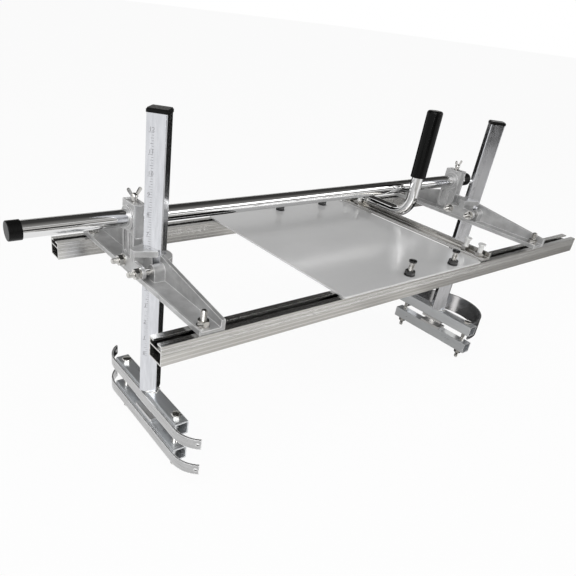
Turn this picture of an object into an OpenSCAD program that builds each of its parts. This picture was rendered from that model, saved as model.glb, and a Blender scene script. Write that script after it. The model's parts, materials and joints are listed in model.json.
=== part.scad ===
// Chainsaw mill: two slotted rails, two end brackets, two measuring posts with saw-bar clamps.
// Millimetres. +X runs along the rails towards the nose end, +Y from the front rail to the rear rail.
// The origin is on the underside of the front rail, at mid-length and mid-width.

/* [Rails] */
// Length of each rail
rail_length = 914.4; // [840:0.1:1200]
// Width of a rail
rail_width = 27; // [25:0.1:30]
// Height of a rail
rail_height = 25.4; // [22:0.1:40]
// Wall thickness of a rail
rail_wall = 1.8; // [1.2:0.1:2.2]
// Width of the slot along the top of a rail
slot_opening = 8.8; // [8.4:0.1:10]
// Thickness of the two lips beside the slot
slot_lip = 2.4; // [1.8:0.1:3]
// Depth from the rail's top to the floor of its slot
slot_depth = 7.6; // [7:0.1:10]
// Distance between the centres of the two rails
rail_spacing = 304.8; // [280:0.1:400]
// Distance of the posts from the middle between the rails
post_offset = -2.7; // [-6:0.1:6]

/* [Deck] */
// Length of the deck plate along the rails
deck_length = 316; // [200:1:317]
// Middle of the deck plate along the rails
deck_centre = -25; // [-40:0.5:-25]
// Thickness of the deck plate
deck_thickness = 2.6; // [1.5:0.1:4]
// Distance between the deck bolts of one rail
deck_bolt_spacing = 107; // [60:1:140]
// Middle of the deck bolts along the rails
deck_bolt_centre = 18.5; // [-20:0.5:40]

/* [Cross member] */
// Gap between the deck plate and the cross member
member_gap = 0.6; // [0.3:0.1:16]
// Width of the cross member's flange
member_width = 21.5; // [21:0.1:24]
// Thickness of the cross member's flange and leg
member_wall = 3; // [2:0.1:4]
// Height of the cross member's leg
member_height = 11; // [8:0.5:16]
// Thickness of the foot plates under the cross member
foot_plate_thickness = 3; // [2:0.1:4]
// Height of the studs above the cross member
stud_height = 21.5; // [12:0.5:30]

/* [Thrust handle] */
// Diameter of the thrust handle's tube
thrust_tube_d = 20.5; // [18:0.5:21]
// Radius of the bend in the thrust handle
thrust_bend = 36; // [30:1:50]
// Distance from the front rail's centre to the upright leg
thrust_upright_y = 171.5; // [150:0.5:175]
// Height of the top of the grip
grip_top = 227; // [200:1:260]
// Length of the grip
grip_length = 114; // [90:1:120]
// Diameter of the grip
grip_d = 27; // [25:0.5:30]

/* [End brackets] */
// Place of the power-head bracket along the rails
left_x = -379; // [-390:1:-330]
// Place of the nose bracket along the rails
right_x = 331; // [300:1:340]
// Thickness of the flange
flange_thickness = 4; // [3:0.1:5]
// Reach of the flange from the post's axis
flange_reach = 30; // [29:0.5:32]
// Height of the lip along the flange's edge
flange_lip = 2.6; // [1:0.1:4]
// Thickness of the web
web_thickness = 5.5; // [4:0.1:7]
// Height of the web's ends above the flange's underside
web_end_height = 13; // [10:0.5:16]
// Height of the web's ridge at the post, above the flange's underside
web_height = 34; // [30:0.5:38]
// Wall round the far side of the post
seat_wall = 5; // [4:0.1:7]
// Depth of the tower along Y
tower_depth = 34.5; // [32:0.5:38]
// Thickness of the tower along X
tower_thickness = 17; // [15:0.5:20]
// Distance from the post's axis to the tower's middle
tower_y = 50; // [49:0.5:58]
// Distance between the two clamp bolts of a post
clamp_bolt_spacing = 46; // [45:0.5:52]
// Height of the clamp bolts above the flange's underside
clamp_bolt_rise = 16.4; // [15.5:0.1:18]

/* [Handle tube] */
// Diameter of the handle tube
handle_d = 22.2; // [18:0.1:24]
// Length of the handle tube
handle_length = 911.4; // [900:0.1:1000]
// Left end of the handle tube
handle_x = -546.3; // [-560:0.1:-546]
// Height of the handle tube's axis above the rails
handle_rise = 62.7; // [58:0.1:80]
// Wall of the handle tube
handle_wall = 1.6; // [1.2:0.1:2.5]
// Length of the cap on each end of the handle tube
handle_cap_length = 16; // [10:0.5:18]

/* [Posts] */
// Side of the square post
post_size = 25; // [22:0.1:26]
// Wall of the post
post_wall = 2; // [1.5:0.1:3]
// Length of the post
post_length = 389; // [340:1:450]
// Height of the power-head post's top above the front rail's underside
left_post_top = 229.5; // [200:0.5:240]
// Height of the nose post's top above the front rail's underside
right_post_top = 207.5; // [180:0.5:240]
// Thickness of the plastic cap on a post
cap_thickness = 5; // [3:0.5:8]

/* [Bar clamps] */
// Side of the clamp tubes
clamp_tube = 21.7; // [20:0.1:24]
// Wall of the clamp tubes
clamp_wall = 2; // [1.5:0.1:3]
// Length of the clamp tubes
clamp_length = 188; // [180:1:220]
// Distance between the two bolts of a bar clamp
bar_bolt_spacing = 155; // [140:1:162]
// Gap between the clamp tubes, power-head side
left_gap = 24; // [20:0.5:26]
// Gap between the clamp tubes, nose side
right_gap = 19.5; // [18:0.5:26]
// Length of the clamp pads
pad_length = 50; // [30:1:70]
// Thickness of a clamp pad
pad_thickness = 5; // [3:0.5:6]
// Width of a guide strap
strap_width = 16; // [12:0.5:18]
// Thickness of a guide strap
strap_thickness = 3; // [2:0.1:4]
// Radius of a strap's curled ends
strap_radius = 44; // [40:0.5:60]
// Angle of a strap's curled ends
strap_angle = 57; // [30:1:70]
// Radius of the nose guard
guard_radius = 84; // [70:1:90]
// Height of the nose guard
guard_height = 40; // [30:1:54]
// Thickness of the nose guard
guard_thickness = 3; // [2:0.1:4]
// Distance from the post's axis to the middle of the guard's arc
guard_centre = 18; // [15:1:40]

/* [Fasteners] */
// Diameter of the bolts and studs
bolt_d = 8; // [7:0.1:8]
// Width of nuts and hexagon heads across the flats
nut_flats = 13; // [12:0.1:13]
// Height of a nut
nut_height = 6.5; // [4:0.1:7]
// Diameter of a washer
washer_d = 16; // [15:0.1:17]
// Thickness of a washer
washer_thickness = 1.6; // [1:0.1:2]

/* [Hidden] */

$fn = 64;
hexagon = 6;
eps = 0.02;

// Clearances
slide_gap = 0.2;
post_gap = 0.3;
thread_gap = 0.05;
running_gap = 0.08;
hole_gap = 0.25;

// Length of the cuts that pass right through thin walls
cut_reach = 0.8 * rail_height;

// Shared sizes
bolt_r = bolt_d / 2;
hole_r = bolt_r + hole_gap;
rail_mid = rail_spacing / 2;
slot_width = rail_width - 2 * rail_wall;
slot_head = slot_depth - slot_lip - 1;
slot_head_side = slot_opening + 5.4;
bolt_cap_r = 6;
bolt_cap_height = 3.2;
post_y = rail_mid + post_offset;
half_diagonal = post_size / sqrt(2);
seat_side = post_size + 2 * post_gap;
seat_diagonal = seat_side / sqrt(2);

// A square with round corners, centred
module rounded_square(side, corner) {
    square([side, side - 2 * corner], center = true);
    square([side - 2 * corner, side], center = true);
    for (x = [-1, 1], y = [-1, 1])
        translate([x * (side / 2 - corner), y * (side / 2 - corner)]) circle(r = corner);
}

// A rectangle with round corners, centred
module rounded_plate(length, width, corner) {
    square([length, width - 2 * corner], center = true);
    square([length - 2 * corner, width], center = true);
    for (x = [-1, 1], y = [-1, 1])
        translate([x * (length / 2 - corner), y * (width / 2 - corner)]) circle(r = corner);
}

// Square tube section
module tube_section(side, wall) {
    difference() {
        rounded_square(side, 1.6);
        rounded_square(side - 2 * wall, 0.6);
    }
}

// A bar along +X with its section drawn as (Y, Z)
module along_x(length) {
    rotate([90, 0, 90]) linear_extrude(length) children();
}

// A bar along +Y with its section drawn as (X, Z)
module along_y(length) {
    translate([0, length, 0]) rotate([90, 0, 0]) linear_extrude(length) children();
}

// Hexagon nut standing on its face
module nut() {
    difference() {
        intersection() {
            cylinder(d = nut_flats / cos(30), h = nut_height, $fn = hexagon);
            nut_chamfer(nut_height);
        }
        translate([0, 0, -1]) cylinder(r = bolt_r + thread_gap, h = nut_height + 2);
    }
}

// Turned outline that takes the corners off a nut
module nut_chamfer(height) {
    full = nut_flats / cos(30) / 2 + 0.1;
    corner = full - nut_flats / 2;
    rotate_extrude() polygon([
        [0, 0], [full - corner, 0], [full, corner * 0.6],
        [full, height - corner * 0.6], [full - corner, height], [0, height]
    ]);
}

// Hexagon bolt head standing on its face
module hex_head(height) {
    intersection() {
        cylinder(d = nut_flats / cos(30), h = height, $fn = hexagon);
        rotate_extrude() polygon([
            [0, 0], [nut_flats * 0.6, 0], [nut_flats * 0.6, height * 0.75],
            [nut_flats * 0.45, height], [0, height]
        ]);
    }
}

module washer() {
    difference() {
        cylinder(d = washer_d, h = washer_thickness);
        translate([0, 0, -1]) cylinder(r = bolt_r + hole_gap, h = washer_thickness + 2);
    }
}

// Shallow domed head, flat side down
module cup_head(radius, height) {
    sphere_r = (radius * radius + height * height) / (2 * height);
    rotate_extrude() intersection() {
        translate([0, height - sphere_r]) circle(r = sphere_r);
        square([radius, height]);
    }
}

// Washer with a nut on it
module nut_on_washer() {
    washer();
    translate([0, 0, washer_thickness]) nut();
}

// Bolt head that lies in a rail's slot, with its stud; z = 0 is the rail's top
module slot_stud(height, drop) {
    top = -slot_lip - drop;
    translate([0, 0, top - slot_head]) linear_extrude(slot_head)
        rounded_square(slot_head_side, 2);
    translate([0, 0, top - eps]) cylinder(r = bolt_r, h = height - top + eps);
}

// Square nut that lies in a rail's slot; z = 0 is the rail's top
module slot_nut(drop) {
    translate([0, 0, -slot_lip - drop - slot_head]) linear_extrude(slot_head) difference() {
        rounded_square(slot_head_side, 2);
        circle(r = bolt_r + thread_gap);
    }
}

// Bolt with a flat round head at the top; its tip is at the origin
module headed_bolt(length) {
    cylinder(r = bolt_r, h = length - eps);
    translate([0, 0, length - bolt_cap_height]) cylinder(r = bolt_cap_r, h = bolt_cap_height);
}

// Rails

rib_depth = 0.4;
rib_width = 0.9;
rib_pitch = 2.1;
rib_count = 5;

module rail_section() {
    chamber = rail_height - slot_depth - 2 * rail_wall;
    difference() {
        translate([-rail_width / 2, 0]) square([rail_width, rail_height]);
        translate([-slot_width / 2, rail_wall]) square([slot_width, chamber]);
        translate([-slot_width / 2, rail_height - slot_depth])
            square([slot_width, slot_depth - slot_lip]);
        translate([-slot_opening / 2, rail_height - slot_depth])
            square([slot_opening, slot_depth + 1]);
        for (side = [-1, 1], k = [0:rib_count - 1])
            translate([side * rail_width / 2, rail_height * 0.88 - k * rib_pitch])
                square([2 * rib_depth, rib_width], center = true);
    }
}

module rail() {
    translate([-rail_length / 2, 0, 0]) along_x(rail_length) rail_section();
}

module front_rail() {
    color("silver") rail();
}

module rear_rail() {
    color("silver") translate([0, rail_spacing, 0]) rail();
}

// Deck plate

deck_width = rail_spacing + rail_width;
deck_top = rail_height + deck_thickness;
deck_stud_height = 26.6;
deck_end = deck_centre + deck_length / 2;
cup_height = 4.2;
tip_beyond = 0.4;

module at_deck_bolts() {
    for (x = [-0.5, 0.5], y = [0, rail_spacing])
        translate([deck_bolt_centre + x * deck_bolt_spacing, y, 0]) children();
}

module deck_plate() {
    color("darkgray") difference() {
        translate([deck_centre, rail_mid, rail_height]) linear_extrude(deck_thickness)
            rounded_plate(deck_length, deck_width, 3);
        at_deck_bolts() translate([0, 0, rail_height - 1]) cylinder(r = hole_r, h = deck_thickness + 2);
    }
}

module deck_bolts() {
    tip = rail_height - slot_lip - slot_head - tip_beyond;
    color("gainsboro") at_deck_bolts() translate([0, 0, tip])
        headed_bolt(rail_height + deck_stud_height - tip);
}

module deck_nuts() {
    color("gainsboro") at_deck_bolts() {
        translate([0, 0, deck_top]) nut_on_washer();
        translate([0, 0, rail_height]) slot_nut(0);
    }
}

// Cross member and its fasteners: an angle on two foot plates

member_x = deck_end + member_gap;
foot_z = rail_height + slide_gap;
member_z = foot_z + foot_plate_thickness;
member_deck = member_z + member_wall;
stud_x = member_x + 9;
outer_stud_x = member_x + 11.5;
outer_stud_y = 28;
foot_plate_front = -5.8;
foot_plate_rear = 36;
foot_plate_long = 43;
foot_plate_short = 23.5;
rib_line = 0.5;
thrust_r = thrust_tube_d / 2;
thrust_wall = 1.8;
thrust_x = member_x + member_width + slide_gap + thrust_r;
thrust_z = member_z + thrust_r + 2;

module at_both_ends() {
    children();
    translate([0, rail_spacing, 0]) mirror([0, 1, 0]) children();
}

module cross_member() {
    color("lightgray") difference() {
        union() {
            translate([member_x, -rail_width / 2, member_z])
                cube([member_width, deck_width, member_wall]);
            translate([member_x + member_width - member_wall, -rail_width / 2, member_z])
                cube([member_wall, deck_width, member_height]);
            for (x = [1.2, 5.2])
                translate([member_x + x - rib_line, -rail_width / 2, member_deck - rib_line])
                    cube([2 * rib_line, deck_width, 2 * rib_line]);
        }
        at_both_ends() {
            translate([stud_x, 0, foot_z]) cylinder(r = hole_r, h = cut_reach);
            translate([outer_stud_x, outer_stud_y, foot_z]) cylinder(r = hole_r, h = cut_reach);
            translate([stud_x, 0, member_deck]) cylinder(r = nut_flats * 0.6, h = 5);
            translate([outer_stud_x, outer_stud_y, member_deck]) cylinder(r = nut_flats * 0.6, h = 1);
        }
    }
}

module foot_plate(width) {
    translate([member_x, foot_plate_front, foot_z])
        cube([width, foot_plate_rear - foot_plate_front, foot_plate_thickness]);
}

module member_foot_plates() {
    color("gainsboro") difference() {
        union() {
            foot_plate(foot_plate_short);
            translate([0, rail_spacing, 0]) mirror([0, 1, 0]) foot_plate(foot_plate_long);
        }
        at_both_ends() {
            translate([stud_x, 0, 0]) cylinder(r = hole_r, h = member_deck);
            translate([outer_stud_x, outer_stud_y, 0]) cylinder(r = hole_r, h = member_deck);
        }
        translate([thrust_x, rail_spacing, 0]) cylinder(r = hole_r, h = member_deck);
    }
}

module member_studs() {
    top = member_deck + stud_height;
    slot_tip = rail_height - slot_lip - slide_gap - slot_head - tip_beyond / 2;
    outer_tip = foot_z - nut_height - 2;
    color("gainsboro") at_both_ends() {
        translate([stud_x, 0, slot_tip]) headed_bolt(top - slot_tip);
        translate([outer_stud_x, outer_stud_y, outer_tip]) headed_bolt(top - outer_tip);
    }
}

module member_nuts() {
    color("gainsboro") at_both_ends() {
        translate([stud_x, 0, member_deck]) rotate(30) nut();
        translate([stud_x, 0, rail_height]) slot_nut(slide_gap);
        translate([outer_stud_x, outer_stud_y, member_deck]) rotate(30) nut();
        translate([outer_stud_x, outer_stud_y, foot_z - nut_height]) rotate(30) nut();
    }
}

// Thrust handle: a bent tube with a flat tongue at its rear end

tongue_thickness = 4.4;
tongue_width = thrust_tube_d;
thrust_rear = rail_spacing - 16;
tongue_end = rail_spacing + rail_width / 2 - 1;
bend_y = thrust_upright_y + thrust_bend;
bend_z = thrust_z + thrust_bend;
grip_wall = (grip_d - thrust_tube_d) / 2;
end_wall = 2;

module thrust_path(radius, rear) {
    translate([thrust_x, bend_y, thrust_z]) rotate([-90, 0, 0])
        cylinder(r = radius, h = rear - bend_y);
    translate([thrust_x, bend_y, bend_z]) rotate([0, 90, 0]) rotate_extrude(angle = -90)
        translate([thrust_bend, 0]) circle(r = radius);
    translate([thrust_x, thrust_upright_y, bend_z])
        cylinder(r = radius, h = grip_top - grip_wall - bend_z);
}

module thrust_handle() {
    color("silver") difference() {
        union() {
            difference() {
                thrust_path(thrust_r, thrust_rear);
                thrust_path(thrust_r - thrust_wall, thrust_rear - end_wall);
            }
            translate([thrust_x - tongue_width / 2, thrust_rear - end_wall, member_z])
                cube([tongue_width, tongue_end - thrust_rear + end_wall, tongue_thickness]);
        }
        translate([thrust_x, rail_spacing, 0]) cylinder(r = hole_r, h = thrust_z);
    }
}

module thrust_grip() {
    bottom = grip_top - grip_length;
    bore = thrust_r + thread_gap;
    r = grip_d / 2;
    round_r = 4;
    color([0.08, 0.08, 0.08]) translate([thrust_x, thrust_upright_y, bottom]) rotate_extrude()
        difference() {
            union() {
                square([r - round_r, grip_length]);
                square([r, grip_length - round_r]);
                translate([r - round_r, grip_length - round_r]) circle(r = round_r);
            }
            translate([-1, -1]) square([bore + 1, grip_length - grip_wall + 1]);
            translate([-2 * r, -1]) square([2 * r, grip_length + 2]);
        }
}

module thrust_bolt() {
    reach = member_z + tongue_thickness - rail_height + washer_thickness + nut_height + 5;
    color("gainsboro") translate([thrust_x, rail_spacing, rail_height]) slot_stud(reach, slide_gap);
}

module thrust_nut() {
    color("gainsboro") translate([thrust_x, rail_spacing, member_z + tongue_thickness])
        nut_on_washer();
}

// End brackets: drawn round the post's axis, z = 0 at the flange's underside

bracket_z = rail_height + slide_gap;
arm_front = post_y + rail_width / 2 - 2;
arm_rear = rail_spacing - post_y + rail_width / 2 - 2;
web_back = 4;
web_front = web_back - web_thickness;
lip_width = 2.5;
foot_bolt_x = -18.5;
foot_stud_height = 24.5;
tower_back = 3;
tower_front = tower_back - tower_thickness;
tower_over_tube = 21.4;
handle_z = rail_height + handle_rise;
handle_r = handle_d / 2;
tower_top = handle_z - bracket_z + tower_over_tube;
handle_bore = handle_r + running_gap;
ring_r = handle_r + 5.4;
ring_height = 2.5;
boss_r = 8.8;
boss_front = -17;
clamp_y = clamp_bolt_spacing / 2;
clamp_head_r = 6.5;
neck = 14;
seat_drop = 6;

module flange() {
    difference() {
        translate([-flange_reach, -arm_front, 0])
            cube([flange_reach + web_back, arm_front + arm_rear, flange_thickness]);
        for (y = [-post_y, rail_spacing - post_y])
            translate([foot_bolt_x, y, -1]) cylinder(r = hole_r, h = flange_thickness + 2);
    }
    translate([-flange_reach, -arm_front, 0])
        cube([lip_width, arm_front + arm_rear, flange_thickness + flange_lip]);
}

module web() {
    tower_rear = tower_y + tower_depth / 2;
    translate([web_front, 0, 0]) along_x(web_thickness) polygon([
        [-arm_front, 0], [-arm_front, web_end_height], [-neck, web_height], [tower_rear, web_height + 4],
        [arm_rear, web_end_height], [arm_rear, 0]
    ]);
}

// Rounded wall round the far half of the post
module post_seat() {
    reach = seat_diagonal + seat_wall;
    linear_extrude(web_height - seat_drop) intersection() {
        circle(r = reach);
        translate([web_front, -reach]) square([reach - web_front, 2 * reach]);
    }
}

module bolt_bosses() {
    for (y = [-clamp_y, clamp_y]) {
        translate([boss_front, y, clamp_bolt_rise]) rotate([0, 90, 0])
            cylinder(r = boss_r, h = web_front - boss_front + 1);
        translate([boss_front, y - boss_r, 0])
            cube([web_front - boss_front + 1, 2 * boss_r, clamp_bolt_rise]);
    }
}

panel_margin = 2;
panel_depth = 1.4;
pocket_depth = 3;
pocket_rib = 5;
top_recess = 1.2;
pocket_corner = 4;

module tower() {
    y0 = tower_y - tower_depth / 2;
    panel_w = tower_thickness - 2 * panel_margin;
    panel_z0 = web_height + 4;
    panel_h = tower_top - panel_z0 - panel_margin;
    pocket_h = handle_z - bracket_z - ring_r - 3 - (flange_thickness + 6);
    pocket_w = tower_depth - 8;
    difference() {
        union() {
            translate([tower_front, y0, 0]) cube([tower_thickness, tower_depth, tower_top]);
            translate([tower_front - ring_height, tower_y, handle_z - bracket_z]) rotate([0, 90, 0])
                cylinder(r = ring_r, h = ring_height + 1);
        }
        translate([tower_front + tower_thickness / 2, y0 + panel_depth, panel_z0 + panel_h / 2])
            rotate([90, 0, 0]) linear_extrude(panel_depth + 1)
                rounded_plate(panel_w, panel_h, 3);
        translate([tower_front - 1, tower_y, flange_thickness + 6 + pocket_h / 2])
            rotate([90, 0, 90]) linear_extrude(pocket_depth + 1)
                rounded_plate(pocket_w, pocket_h, pocket_corner);
        translate([tower_front + tower_thickness / 2, tower_y, tower_top - top_recess])
            linear_extrude(top_recess + 1)
                rounded_plate(tower_thickness - 2 * panel_margin, tower_depth - 2 * panel_margin, 3);
    }
    translate([tower_front, tower_y - pocket_rib / 2, flange_thickness])
        cube([pocket_depth + 1, pocket_rib, pocket_h + 8]);
}

module bracket() {
    difference() {
        union() {
            flange();
            web();
            post_seat();
            bolt_bosses();
            tower();
        }
        translate([0, 0, -1]) linear_extrude(tower_top + 2) rotate(45) square(seat_side, center = true);
        for (y = [-clamp_y, clamp_y])
            translate([boss_front - 1, y, clamp_bolt_rise]) rotate([0, 90, 0])
                cylinder(r = hole_r, h = web_back - boss_front + cut_reach);
        for (y = [-clamp_y, clamp_y])
            translate([web_back, y, clamp_bolt_rise]) rotate([0, 90, 0])
                cylinder(r = clamp_head_r + post_gap, h = cut_reach);
        translate([tower_front - ring_height - 1, tower_y, handle_z - bracket_z]) rotate([0, 90, 0])
            cylinder(r = handle_bore, h = tower_thickness + ring_height + 2);
        translate([tower_screw_x, tower_y, handle_z - bracket_z])
            cylinder(r = bolt_r + running_gap, h = tower_top);
    }
}

tower_screw_x = tower_front + tower_thickness / 2;

// Saddle that closes on the near side of the post
clamp_face = -33;
ear_thickness = 5;
ear_r = 8.5;
saddle_arm = 4;
saddle_bottom = clamp_bolt_rise - 9;
band_bottom = web_height - 3;
band_top = web_height + 5;
nose_half = 6;

module post_clamp() {
    arm_outer = seat_diagonal + saddle_arm * sqrt(2);
    arm_end = -(arm_outer - (clamp_y - boss_r - 0.8));
    band_end = -4.5;
    web_y = clamp_y - boss_r - 1.6;
    // ears for the bolts
    difference() {
        union() {
            translate([clamp_face, 0, clamp_bolt_rise]) along_x(ear_thickness) {
                square([clamp_bolt_spacing, 2 * ear_r], center = true);
                for (y = [-clamp_y, clamp_y]) translate([y, 0]) circle(r = ear_r);
            }
            // arms along the post, and the nose that joins them to the ears
            translate([0, 0, saddle_bottom]) linear_extrude(band_top - saddle_bottom) polygon([
                [clamp_face, -nose_half], [-arm_outer + nose_half, -nose_half], [arm_end, -arm_outer - arm_end],
                [arm_end, -seat_diagonal - arm_end], [-seat_diagonal, 0], [arm_end, seat_diagonal + arm_end],
                [arm_end, arm_outer + arm_end], [-arm_outer + nose_half, nose_half], [clamp_face, nose_half]
            ]);
            // floor web
            translate([0, 0, saddle_bottom]) linear_extrude(4) polygon([
                [clamp_face, -web_y - 4], [clamp_face + ear_thickness, -web_y - 4], [arm_end, -web_y],
                [arm_end, -seat_diagonal - arm_end], [-seat_diagonal, 0], [arm_end, seat_diagonal + arm_end],
                [arm_end, web_y], [clamp_face + ear_thickness, web_y + 4], [clamp_face, web_y + 4]
            ]);
            // band above the bosses
            translate([0, 0, band_bottom]) linear_extrude(band_top - band_bottom) polygon([
                [clamp_face, -nose_half], [band_end, -seat_diagonal + 0.4], [band_end, -seat_diagonal - band_end],
                [-seat_diagonal, 0], [band_end, seat_diagonal + band_end], [band_end, seat_diagonal - 0.4],
                [clamp_face, nose_half]
            ]);
        }
        for (y = [-clamp_y, clamp_y])
            translate([clamp_face - 1, y, clamp_bolt_rise]) rotate([0, 90, 0])
                cylinder(r = hole_r, h = ear_thickness + 2);
    }
}

stud_end = -50;

module clamp_bolts() {
    for (y = [-clamp_y, clamp_y]) translate([0, y, clamp_bolt_rise]) {
        translate([web_back, 0, 0]) rotate([0, 90, 0]) cup_head(clamp_head_r, cup_height);
        translate([stud_end, 0, 0]) rotate([0, 90, 0]) cylinder(r = bolt_r, h = web_back - stud_end + eps);
    }
}

module clamp_nuts() {
    for (y = [-clamp_y, clamp_y]) translate([clamp_face, y, clamp_bolt_rise])
        rotate([0, -90, 0]) nut_on_washer();
}

module at_feet() {
    for (y = [-post_y, rail_spacing - post_y]) translate([foot_bolt_x, y, 0]) children();
}

module foot_bolts() {
    at_feet() translate([0, 0, -slide_gap]) slot_stud(foot_stud_height + slide_gap, slide_gap);
}

module foot_nuts() {
    at_feet() translate([0, 0, flange_thickness]) nut_on_washer();
}

wing_lift = 6;
wing_hub_r = 5;
wing_hub_height = 5;
wing_span = 21;
wing_rise = 9.5;
wing_thickness = 2;

module wing_screw() {
    tip = handle_z - bracket_z + handle_r + 0.3;
    hub_z = tower_top + wing_lift;
    translate([tower_screw_x, tower_y, 0]) {
        translate([0, 0, tip]) cylinder(r = bolt_r, h = hub_z - tip + eps);
        translate([0, 0, hub_z]) cup_head(wing_hub_r, wing_hub_height);
        for (side = [0, 180]) rotate([0, 0, side]) translate([0, wing_thickness / 2, hub_z])
            rotate([90, 0, 0]) linear_extrude(wing_thickness) wing_outline();
    }
}

module wing_outline() {
    tip_r = 2.4;
    tip_x = wing_span / 2 - tip_r;
    translate([tip_x, wing_rise]) circle(r = tip_r);
    polygon([[0, 0.4], [wing_hub_r - 0.6, 0.4], [tip_x + tip_r * 0.9, wing_rise - tip_r * 0.45],
        [tip_x - tip_r * 0.75, wing_rise + tip_r * 0.65], [wing_hub_r * 0.5, wing_hub_height - 0.6],
        [0, wing_hub_height - 0.6]]);
}

module at_left() {
    translate([left_x, post_y, bracket_z]) children();
}

module at_right() {
    translate([right_x, post_y, bracket_z]) children();
}

module left_bracket() {
    color([0.66, 0.66, 0.66]) at_left() bracket();
}

module left_post_clamp() {
    color([0.72, 0.72, 0.72]) at_left() post_clamp();
}

module left_clamp_bolts() {
    color("gainsboro") at_left() clamp_bolts();
}

module left_clamp_nuts() {
    color("gainsboro") at_left() clamp_nuts();
}

module left_foot_bolts() {
    color("gainsboro") at_left() foot_bolts();
}

module left_foot_nuts() {
    color("gainsboro") at_left() foot_nuts();
}

module left_wing_screw() {
    color("gainsboro") at_left() wing_screw();
}

module right_bracket() {
    color([0.66, 0.66, 0.66]) at_right() bracket();
}

module right_post_clamp() {
    color([0.72, 0.72, 0.72]) at_right() post_clamp();
}

module right_clamp_bolts() {
    color("gainsboro") at_right() clamp_bolts();
}

module right_clamp_nuts() {
    color("gainsboro") at_right() clamp_nuts();
}

module right_foot_bolts() {
    color("gainsboro") at_right() foot_bolts();
}

module right_foot_nuts() {
    color("gainsboro") at_right() foot_nuts();
}

module right_wing_screw() {
    color("gainsboro") at_right() wing_screw();
}

// Posts: drawn round the post's axis, z = 0 at the foot of the post

cap_overhang = 0.8;
cap_plug = 14;

module post() {
    rotate(45) linear_extrude(post_length) tube_section(post_size, post_wall);
}

module post_cap() {
    plug_side = post_size - 2 * post_wall - post_gap;
    translate([0, 0, post_length]) rotate(45) {
        linear_extrude(cap_thickness - 1.4) rounded_square(post_size + 2 * cap_overhang, 2.4);
        translate([0, 0, cap_thickness - 1.4]) linear_extrude(1.4)
            rounded_square(post_size + 2 * cap_overhang - 2, 2);
        translate([0, 0, -cap_plug]) linear_extrude(cap_plug + eps) rounded_square(plug_side, 1.2);
    }
}

// Bar clamps: z = 0 at the top of the upper tube

bar_head_height = 5.3;
bolt_beyond = 13;
strap_drop = 1.6;

module at_bar_bolts() {
    for (y = [-0.5, 0.5]) translate([0, y * bar_bolt_spacing, 0]) children();
}

module clamp_tube_solid(bore) {
    difference() {
        translate([0, -clamp_length / 2, -clamp_tube / 2]) along_y(clamp_length)
            tube_section(clamp_tube, clamp_wall);
        at_bar_bolts() translate([0, 0, -clamp_tube - 1]) cylinder(r = bore, h = clamp_tube + 2);
    }
}

module upper_tube() {
    clamp_tube_solid(hole_r);
}

module pad_plate() {
    linear_extrude(pad_thickness) rounded_plate(clamp_tube, pad_length, 2);
}

module upper_pad() {
    translate([0, 0, -clamp_tube - pad_thickness]) pad_plate();
}

module jaw_tube(gap) {
    translate([0, 0, -clamp_tube - gap]) clamp_tube_solid(bolt_r + running_gap);
}

module jaw_pad(gap) {
    translate([0, 0, -clamp_tube - gap]) pad_plate();
}

module bar_bolts(gap) {
    tip = -2 * clamp_tube - gap - washer_thickness - nut_height - bolt_beyond;
    at_bar_bolts() {
        hex_head(bar_head_height);
        translate([0, 0, tip]) cylinder(r = bolt_r, h = eps - tip);
    }
}

module jaw_nuts(gap) {
    at_bar_bolts() translate([0, 0, -2 * clamp_tube - gap]) mirror([0, 0, 1]) {
        jaw_washer();
        translate([0, 0, washer_thickness]) jaw_nut();
    }
}

module jaw_washer() {
    difference() {
        cylinder(d = washer_d, h = washer_thickness);
        translate([0, 0, -1]) cylinder(r = bolt_r + running_gap, h = washer_thickness + 2);
    }
}

module jaw_nut() {
    difference() {
        intersection() {
            cylinder(d = nut_flats / cos(30), h = nut_height, $fn = hexagon);
            nut_chamfer(nut_height);
        }
        translate([0, 0, -1]) cylinder(r = bolt_r + running_gap, h = nut_height + 2);
    }
}

strap_hole_r = 2.4;

// One curled end of a strap, drawn round the centre of its curl
module strap_curl() {
    far = strap_radius + 2 * strap_thickness + strap_width;
    intersection() {
        difference() {
            circle(r = strap_radius + strap_thickness);
            circle(r = strap_radius);
        }
        polygon([
            [0, 0], [-far, 0], [-far, far * tan(strap_angle / 2)],
            [-far * cos(strap_angle), far * sin(strap_angle)]
        ]);
    }
}

// Guide strap on the near side of a clamp tube whose top is at z = 0
module guide_strap() {
    face = -clamp_tube / 2;
    straight = clamp_length / 2 + slide_gap;
    middle = -clamp_tube / 2 - strap_drop;
    centre_x = face + strap_radius;
    difference() {
        translate([0, 0, middle - strap_width / 2]) linear_extrude(strap_width) {
            translate([face - strap_thickness, -straight - eps])
                square([strap_thickness, 2 * straight + 2 * eps]);
            translate([centre_x, straight]) strap_curl();
            mirror([0, 1]) translate([centre_x, straight]) strap_curl();
        }
        for (side = [-1, 1]) translate([centre_x, side * straight, middle])
            rotate([0, 0, 180 - side * (strap_angle - 6)]) translate([strap_radius - 2, 0, 0])
                rotate([0, 90, 0]) cylinder(r = strap_hole_r, h = strap_thickness + 4);
        at_bar_bolts() translate([0, 0, -clamp_tube]) cylinder(r = hole_r, h = clamp_tube);
    }
}

tab_length = 30;
tab_height = 18;
guard_bolt_y = 62;
guard_bolt_r = 3;
guard_nut_flats = 10;
guard_nut_height = 5;
guard_head_r = 5.5;
guard_head_height = 3;

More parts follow.
